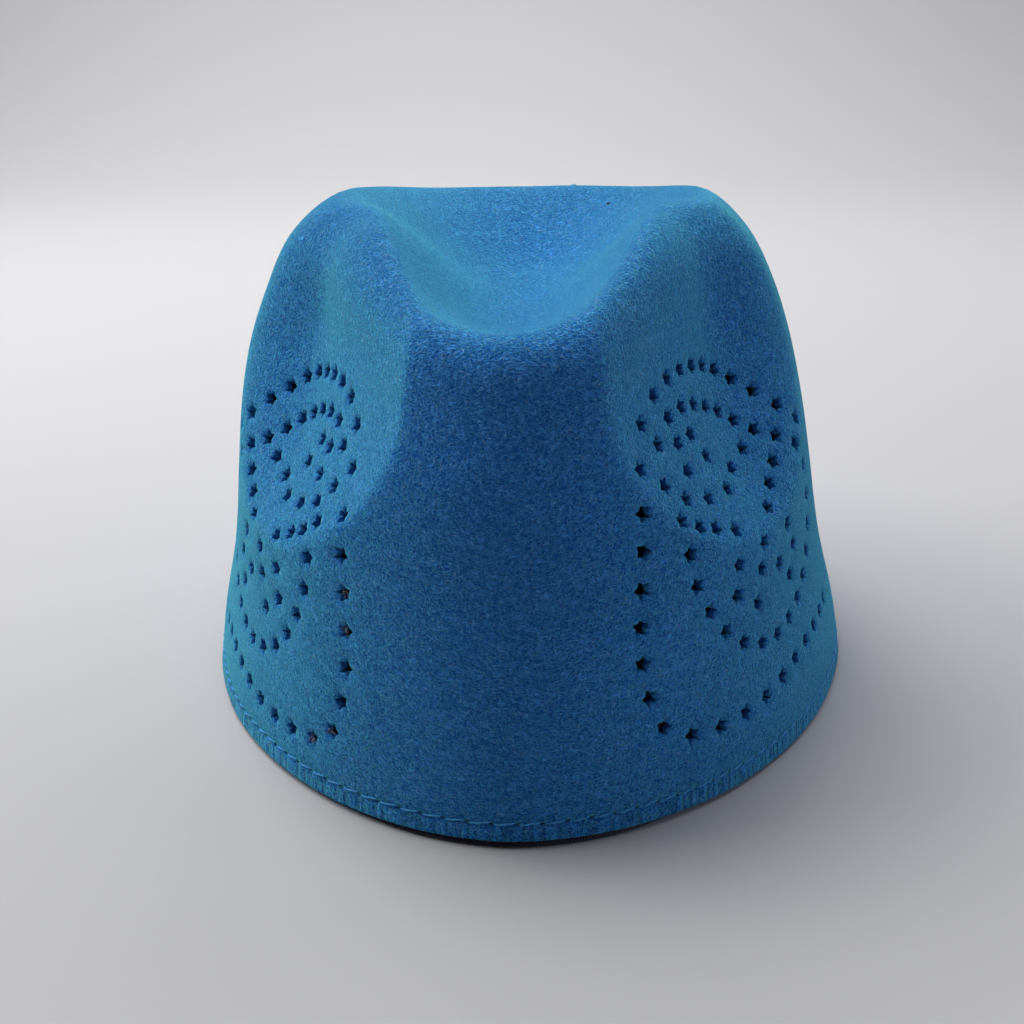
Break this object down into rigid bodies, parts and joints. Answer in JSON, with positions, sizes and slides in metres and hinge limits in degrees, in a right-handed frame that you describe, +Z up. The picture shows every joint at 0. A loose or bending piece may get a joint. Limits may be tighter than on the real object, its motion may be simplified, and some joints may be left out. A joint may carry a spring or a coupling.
{
  "type": "felt prayer cap",
  "caption": "Brimless blue felt cap with a pinched front, a dent in the top, star-shaped holes punched through both front sides and a dark ribbon band inside the rim.",
  "frame": {"origin": "on the ground under the middle of the cap's outline, where the ribbon at the rim rests", "axes": "+Z up, -Y toward the pinched front, +X to the wearer's left"},
  "size_m": [0.1716, 0.2026, 0.1205],
  "materials": {
    "felt": "matte wool felt, bright blue, lightly fuzzy",
    "ribbon": "woven ribbon, dark violet, satin"
  },
  "bodies": {
    "root": {"felt_crown": "felt", "sweatband": "ribbon"}
  },
  "joints": []
}
